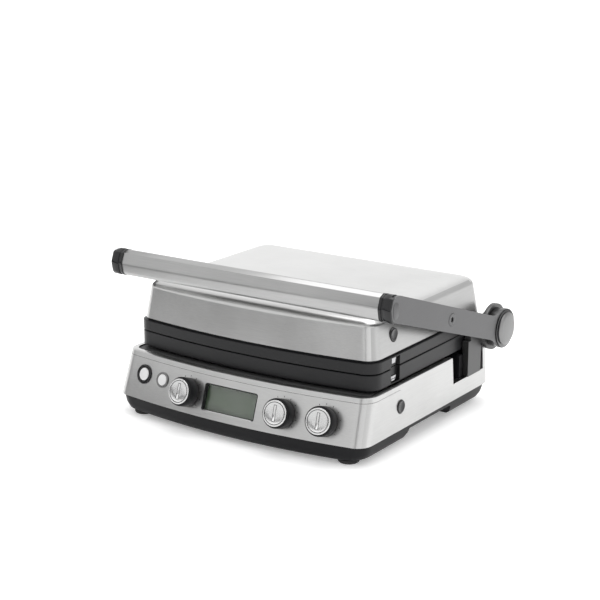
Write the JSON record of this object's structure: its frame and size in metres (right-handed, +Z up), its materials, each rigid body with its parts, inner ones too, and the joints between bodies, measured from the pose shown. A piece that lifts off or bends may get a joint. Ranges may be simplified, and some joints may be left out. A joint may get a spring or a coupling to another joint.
{
  "type": "contact grill",
  "caption": "Countertop contact grill with a floating hinged lid, full-width bar handle on side arms, bowed control panel with dials, buttons and a display.",
  "frame": {"origin": "middle of the overall footprint, on the table the feet stand on", "axes": "+Z up, -Y towards the control panel and handle, +X towards the release buttons"},
  "size_m": [0.422, 0.3636, 0.2053],
  "materials": {
    "steel_brushed": "satin, brushed",
    "arm_steel": "satin, brushed",
    "bright_metal": "polished",
    "hardware_steel": "plain",
    "reflector": "mill finish",
    "bar_aluminium": "satin, brushed",
    "cast_metal": "die-cast, grey",
    "black_plastic": "fine grain",
    "black_gloss": "gloss",
    "inner_plastic": "moulded",
    "rubber": "matt",
    "skirt": "satin black, heat-proof",
    "plate": "cast, with a black non-stick coating",
    "board": "circuit board",
    "element": "heat-darkened",
    "display": "display",
    "window": "clear",
    "button_face": "gloss"
  },
  "bodies": {
    "base": {"base_tray": "black_plastic", "feet": "rubber", "tray_screws": "hardware_steel", "base_housing": "steel_brushed", "deck": "black_plastic", "cord_gland": "black_plastic", "power_board": "board", "control_carrier": "inner_plastic", "control_board": "board", "encoders": "hardware_steel", "button_switches": "inner_plastic", "display_bezel": "black_gloss", "display_window": "window", "display_module": "display", "power_ring": "black_gloss", "start_ring": "hardware_steel", "lower_carrier": "skirt", "lower_plate": "plate", "lower_element": "element", "lower_reflector": "reflector", "lower_catch": "hardware_steel", "hinge_guide_left": "black_plastic", "hinge_guide_right": "black_plastic", "hinge_plates": "hardware_steel"},
    "power_button": {"power_button": "button_face"},
    "start_button": {"start_button": "button_face"},
    "dial_1": {"dial_1": "black_plastic", "dial_1_face": "bright_metal"},
    "dial_2": {"dial_2": "black_plastic", "dial_2_face": "bright_metal"},
    "dial_3": {"dial_3": "black_plastic", "dial_3_face": "bright_metal"},
    "base_release": {"base_release_button": "black_gloss", "base_release_latch": "hardware_steel"},
    "carriage": {"hinge_block_left": "cast_metal", "hinge_block_right": "cast_metal", "hinge_tie_bar": "hardware_steel"},
    "arms": {"arm_left": "arm_steel", "arm_right": "arm_steel", "hub_rings": "black_gloss", "hub_cap_left": "arm_steel", "hub_cap_right": "arm_steel", "handle_bar": "bar_aluminium", "collar_left": "black_gloss", "collar_right": "black_gloss", "screw_plugs": "hardware_steel"},
    "lid": {"pivot_screws": "hardware_steel", "lid_cover": "steel_brushed", "lid_frame": "hardware_steel", "upper_carrier": "skirt", "upper_plate": "plate", "upper_element": "element", "upper_reflector": "reflector", "upper_catch": "hardware_steel"},
    "lid_release": {"lid_release_button": "black_gloss"}
  },
  "joints": [
    {"name": "hinge_float", "type": "slide", "parent": "base", "child": "carriage", "axis": [0, 0, 1], "range_m": [0, 0.018]},
    {"name": "arms_open", "type": "hinge", "parent": "carriage", "child": "arms", "pos_m": [0, 0.15177, 0.1002], "axis": [-1, 0, 0], "range_deg": [0, 105]},
    {"name": "lid_swing", "type": "hinge", "parent": "arms", "child": "lid", "pos_m": [0, 0.01007, 0.14545], "axis": [1, 0, 0], "range_deg": [0, 5.2]},
    {"name": "power_button_press", "type": "slide", "parent": "base", "child": "power_button", "axis": [0.1331, 0.9368, -0.3234], "range_m": [0, 0.0015], "stiffness_N_per_m": 400},
    {"name": "start_button_press", "type": "slide", "parent": "base", "child": "start_button", "axis": [0.1033, 0.9406, -0.3234], "range_m": [0, 0.0015], "stiffness_N_per_m": 400},
    {"name": "dial_1_turn", "type": "hinge", "parent": "base", "child": "dial_1", "pos_m": [-0.066, -0.15936, 0.049], "axis": [0.0619, 0.9442, -0.3234], "range_deg": [0, 270]},
    {"name": "dial_2_turn", "type": "hinge", "parent": "base", "child": "dial_2", "pos_m": [0.074, -0.15881, 0.049], "axis": [-0.0694, 0.9437, -0.3234], "range_deg": [0, 270]},
    {"name": "dial_3_turn", "type": "hinge", "parent": "base", "child": "dial_3", "pos_m": [0.13, -0.15313, 0.049], "axis": [-0.1212, 0.9385, -0.3234], "range_deg": [0, 300]},
    {"name": "base_release_press", "type": "slide", "parent": "base", "child": "base_release", "axis": [-1, 0, 0], "range_m": [0, 0.0025], "stiffness_N_per_m": 500},
    {"name": "lid_release_press", "type": "slide", "parent": "lid", "child": "lid_release", "axis": [-1, 0, 0], "range_m": [0, 0.0025], "stiffness_N_per_m": 500}
  ],
  "couplings": [
    {"joint": "lid_swing", "follows": "arms_open", "ratio": 0.047619}
  ]
}
